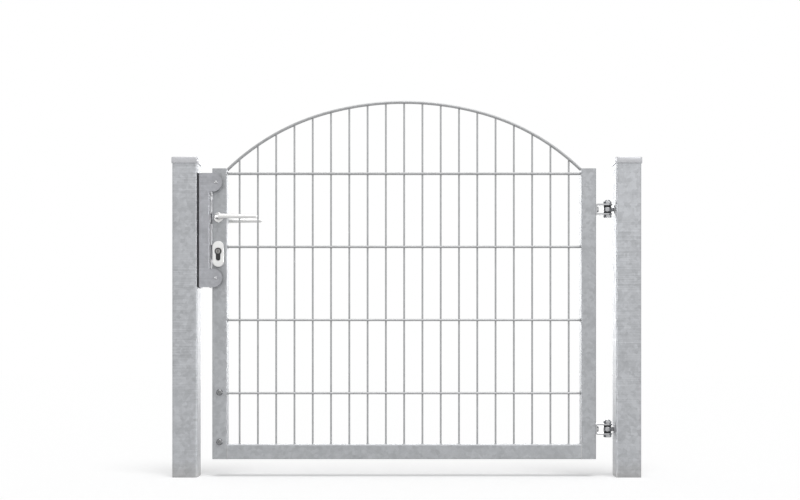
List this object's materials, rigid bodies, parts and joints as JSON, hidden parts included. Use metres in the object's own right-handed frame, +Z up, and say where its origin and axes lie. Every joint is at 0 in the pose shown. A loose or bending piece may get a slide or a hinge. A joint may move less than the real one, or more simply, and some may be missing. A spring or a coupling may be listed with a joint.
{
  "type": "single swing gate",
  "caption": "Galvanised single swing gate with an arched rod-mesh leaf, square posts with caps, eye-bolt hinges, a lever lock and a folded stop bar.",
  "frame": {"origin": "centre of the hinge post's foot, at ground level", "axes": "+X along the gate from the latch post towards the hinge post, +Y away from the front (the side of the stop bar), +Z up"},
  "size_m": [1.2754, 0.134, 1.025],
  "materials": {
    "post_zinc": "hot-dip galvanised, dull with faint level streaks",
    "cap_zinc": "cast, light grey",
    "bar_zinc": "hot-dip galvanised, dull",
    "frame_zinc": "hot-dip galvanised, dull",
    "wire_zinc": "hot-dip galvanised wire",
    "fixing_zinc": "bright zinc plate",
    "satin_steel": "satin stainless",
    "nickel": "nickel plate",
    "dark_steel": "dark, slightly glossy",
    "rubber": "matt black"
  },
  "bodies": {
    "posts": {"latch_post": "post_zinc", "hinge_post": "post_zinc", "latch_post_cap": "cap_zinc", "hinge_post_cap": "cap_zinc", "stop_bar": "bar_zinc", "stop_bar_pad": "rubber", "stop_bar_screws": "fixing_zinc", "buffer_upper": "rubber", "buffer_lower": "rubber", "buffer_screws": "fixing_zinc", "eye_bolt_upper": "fixing_zinc", "eye_bolt_lower": "fixing_zinc", "eye_bolt_nuts_upper": "fixing_zinc", "eye_bolt_nuts_lower": "fixing_zinc"},
    "leaf": {"lock_stile": "frame_zinc", "hinge_stile": "frame_zinc", "bottom_rail": "frame_zinc", "lock_stile_cap": "frame_zinc", "hinge_stile_cap": "frame_zinc", "mesh_panel": "wire_zinc", "arch_wires": "wire_zinc", "hinge_bracket_upper": "fixing_zinc", "hinge_bracket_lower": "fixing_zinc", "bracket_screw_upper": "fixing_zinc", "bracket_screw_lower": "fixing_zinc", "hinge_bolt_upper": "fixing_zinc", "hinge_bolt_lower": "fixing_zinc", "hinge_nut_upper": "fixing_zinc", "hinge_nut_lower": "fixing_zinc", "hinge_washers_upper": "rubber", "hinge_washers_lower": "rubber", "stile_screws": "fixing_zinc", "lock_case": "dark_steel", "lock_forend": "satin_steel", "latch_bolt": "nickel", "dead_bolt": "nickel", "lever_collar_front": "satin_steel", "lever_collar_rear": "satin_steel", "cover_front": "satin_steel", "cover_rear": "satin_steel", "lock_cylinder": "dark_steel", "cylinder_plugs": "nickel"},
    "handle": {"lever_front": "satin_steel", "lever_rear": "satin_steel", "spindle": "dark_steel"}
  },
  "joints": [
    {"name": "leaf_swing", "type": "hinge", "parent": "posts", "child": "leaf", "pos_m": [-0.052, 0.005, 0], "axis": [0, 0, -1], "range_deg": [0, 90]},
    {"name": "lever_turn", "type": "hinge", "parent": "leaf", "child": "handle", "pos_m": [-1.113, 0, 0.705], "axis": [0, 1, 0], "range_deg": [0, 40], "stiffness_Nm_per_rad": 1.2, "springref_deg": -20.05}
  ]
}
